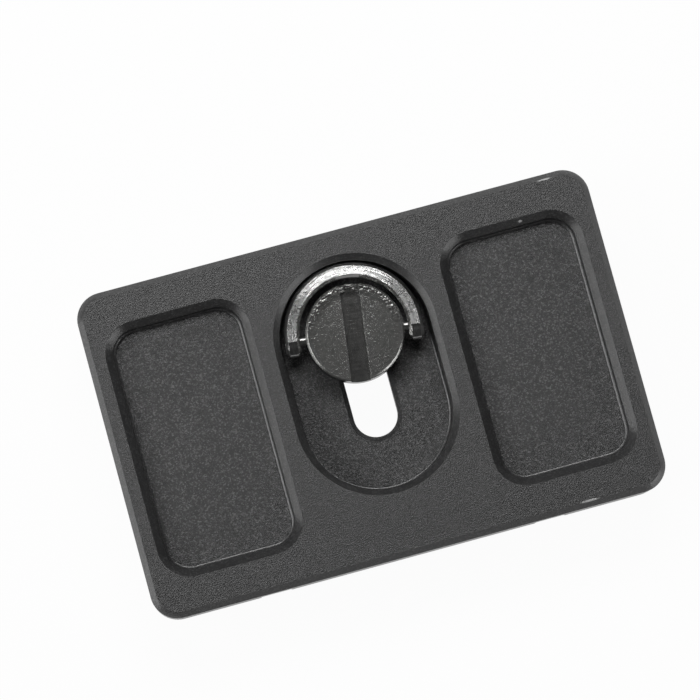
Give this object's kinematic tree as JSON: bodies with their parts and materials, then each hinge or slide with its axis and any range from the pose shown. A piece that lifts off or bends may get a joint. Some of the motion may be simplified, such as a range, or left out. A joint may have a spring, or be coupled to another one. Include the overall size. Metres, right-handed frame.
{
  "type": "camera cable clamp",
  "caption": "Flat metal plate that screws under a camera and holds a cable in a bent channel, with a captive tripod-thread screw and folding D-ring.",
  "frame": {"origin": "below the plate's centre, at the height of the stud's tip", "axes": "+Z out of the side with the D-ring, +X along the plate's length, +Y towards the end of the slot where the screw stands"},
  "size_m": [0.084, 0.053, 0.0143],
  "materials": {
    "black_anodised": "bead blasted and black anodised, matte with a fine grain",
    "pad_rubber": "matte black rubber sheet",
    "washer_nylon": "natural nylon",
    "clip_steel": "dark phosphated spring steel",
    "screw_steel": "turned steel with tool marks and bright edges",
    "pin_steel": "ground steel",
    "ring_steel": "bright steel, lightly worn"
  },
  "bodies": {
    "base": {"plate": "black_anodised", "centre_pad": "pad_rubber", "left_pad": "pad_rubber", "right_pad": "pad_rubber"},
    "slider": {"guide_washer": "washer_nylon"},
    "captive": {"retaining_clip": "clip_steel"},
    "screw": {"camera_screw": "screw_steel", "pivot_pin_left": "pin_steel", "pivot_pin_right": "pin_steel"},
    "bail": {"d_ring": "ring_steel"}
  },
  "joints": [
    {"name": "slot_slide", "type": "slide", "parent": "base", "child": "slider", "axis": [0, 1, 0], "range_m": [-0.01315, 0]},
    {"name": "screw_lift", "type": "slide", "parent": "slider", "child": "captive", "axis": [0, 0, 1], "range_m": [-0.00058, 0]},
    {"name": "screw_spin", "type": "hinge", "parent": "captive", "child": "screw", "pos_m": [0, 0.0099, 0.0097], "axis": [0, 0, 1], "continuous": true},
    {"name": "ring_fold", "type": "hinge", "parent": "screw", "child": "bail", "pos_m": [0, 0.0099, 0.0119], "axis": [0.9936, -0.1132, 0], "range_deg": [0, 180]}
  ]
}
